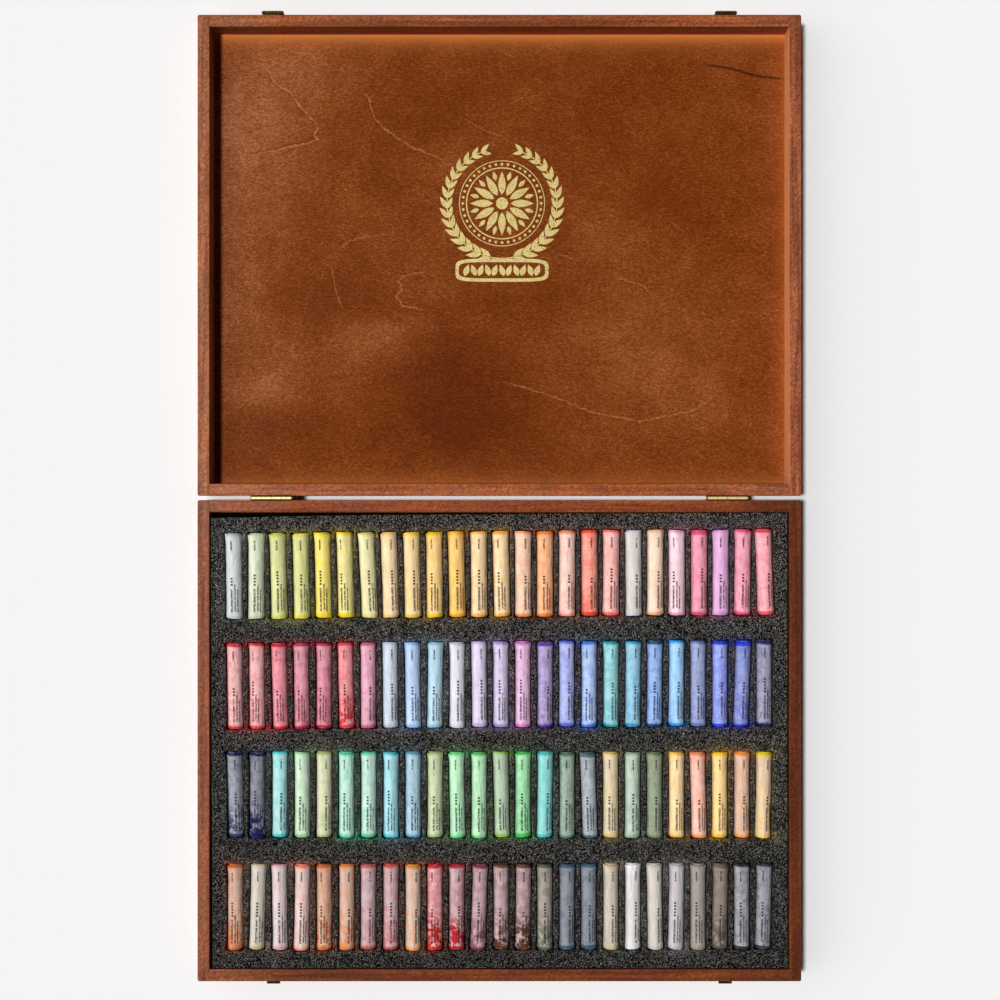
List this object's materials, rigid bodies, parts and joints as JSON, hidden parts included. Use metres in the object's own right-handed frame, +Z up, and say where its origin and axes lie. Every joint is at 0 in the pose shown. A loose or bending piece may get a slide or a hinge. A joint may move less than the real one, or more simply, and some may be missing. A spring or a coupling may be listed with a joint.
{
  "type": "pastel case",
  "caption": "Hinged wooden case, opened flat, with an empty lid and a slotted foam tray holding rows of wrapped soft pastel sticks.",
  "frame": {"origin": "on the table under the hinge line, midway between the sides", "axes": "+X along the hinge line to the right, +Y from the hinge line across the open lid, +Z up out of the open case"},
  "size_m": [0.453, 0.732, 0.026],
  "materials": {
    "stained_wood": "satin",
    "stained_panel": "satin",
    "brass": "polished",
    "foam": "matte",
    "wrapper_paper": "matte",
    "pastel_row_1_set_1": "matte",
    "pastel_row_1_set_2": "matte",
    "pastel_row_1_set_3": "matte",
    "pastel_row_1_set_4": "matte",
    "pastel_row_1_set_5": "matte",
    "pastel_row_2_set_1": "matte",
    "pastel_row_2_set_2": "matte",
    "pastel_row_2_set_3": "matte",
    "pastel_row_2_set_4": "matte",
    "pastel_row_2_set_5": "matte",
    "pastel_row_3_set_1": "matte",
    "pastel_row_3_set_2": "matte",
    "pastel_row_3_set_3": "matte",
    "pastel_row_3_set_4": "matte",
    "pastel_row_3_set_5": "matte",
    "pastel_row_4_set_1": "matte",
    "pastel_row_4_set_2": "matte",
    "pastel_row_4_set_3": "matte",
    "pastel_row_4_set_4": "matte",
    "pastel_row_4_set_5": "matte"
  },
  "bodies": {
    "base": {"base_back_rail": "stained_wood", "base_front_rail": "stained_wood", "base_left_rail": "stained_wood", "base_right_rail": "stained_wood", "base_panel": "stained_panel", "hinge_left_base_leaf": "brass", "hinge_right_base_leaf": "brass", "hinge_left_pin": "brass", "hinge_right_pin": "brass", "hinge_base_screws": "brass", "catch_left_strike": "brass", "catch_right_strike": "brass", "catch_base_screws": "brass", "foam_base_sheet": "foam"},
    "lid": {"lid_back_rail": "stained_wood", "lid_front_rail": "stained_wood", "lid_left_rail": "stained_wood", "lid_right_rail": "stained_wood", "lid_panel": "stained_panel", "hinge_left_lid_leaf": "brass", "hinge_right_lid_leaf": "brass", "hinge_lid_screws": "brass", "catch_left_plate": "brass", "catch_right_plate": "brass", "catch_left_pin": "brass", "catch_right_pin": "brass", "catch_lid_screws": "brass"},
    "left_lever": {"catch_left_lever": "brass"},
    "right_lever": {"catch_right_lever": "brass"},
    "foam_insert": {"foam_bars": "foam", "foam_webs_row_1": "foam", "foam_webs_row_2": "foam", "foam_webs_row_3": "foam", "foam_webs_row_4": "foam"},
    "pastels_1": {"pastels_row_1_set_1": "pastel_row_1_set_1", "pastels_row_1_set_2": "pastel_row_1_set_2", "pastels_row_1_set_3": "pastel_row_1_set_3", "pastels_row_1_set_4": "pastel_row_1_set_4", "pastels_row_1_set_5": "pastel_row_1_set_5", "wrappers_row_1": "wrapper_paper"},
    "pastels_2": {"pastels_row_2_set_1": "pastel_row_2_set_1", "pastels_row_2_set_2": "pastel_row_2_set_2", "pastels_row_2_set_3": "pastel_row_2_set_3", "pastels_row_2_set_4": "pastel_row_2_set_4", "pastels_row_2_set_5": "pastel_row_2_set_5", "wrappers_row_2": "wrapper_paper"},
    "pastels_3": {"pastels_row_3_set_1": "pastel_row_3_set_1", "pastels_row_3_set_2": "pastel_row_3_set_2", "pastels_row_3_set_3": "pastel_row_3_set_3", "pastels_row_3_set_4": "pastel_row_3_set_4", "pastels_row_3_set_5": "pastel_row_3_set_5", "wrappers_row_3": "wrapper_paper"},
    "pastels_4": {"pastels_row_4_set_1": "pastel_row_4_set_1", "pastels_row_4_set_2": "pastel_row_4_set_2", "pastels_row_4_set_3": "pastel_row_4_set_3", "pastels_row_4_set_4": "pastel_row_4_set_4", "pastels_row_4_set_5": "pastel_row_4_set_5", "wrappers_row_4": "wrapper_paper"}
  },
  "joints": [
    {"name": "lid_hinge", "type": "hinge", "parent": "base", "child": "lid", "pos_m": [0, 0, 0.02415], "axis": [1, 0, 0], "range_deg": [0, 180]},
    {"name": "left_catch_swing", "type": "hinge", "parent": "lid", "child": "left_lever", "pos_m": [-0.1702, 0.3645, 0.0221], "axis": [1, 0, 0], "range_deg": [0, 180]},
    {"name": "right_catch_swing", "type": "hinge", "parent": "lid", "child": "right_lever", "pos_m": [0.1702, 0.3645, 0.0221], "axis": [1, 0, 0], "range_deg": [0, 180]},
    {"name": "foam_insert_lift", "type": "slide", "parent": "base", "child": "foam_insert", "axis": [0, 0, -1], "range_m": [-0.04, 0]},
    {"name": "pastels_1_lift", "type": "slide", "parent": "foam_insert", "child": "pastels_1", "axis": [0, 0, -1], "range_m": [-0.04, 0]},
    {"name": "pastels_2_lift", "type": "slide", "parent": "foam_insert", "child": "pastels_2", "axis": [0, 0, -1], "range_m": [-0.04, 0]},
    {"name": "pastels_3_lift", "type": "slide", "parent": "foam_insert", "child": "pastels_3", "axis": [0, 0, -1], "range_m": [-0.04, 0]},
    {"name": "pastels_4_lift", "type": "slide", "parent": "foam_insert", "child": "pastels_4", "axis": [0, 0, -1], "range_m": [-0.04, 0]}
  ]
}
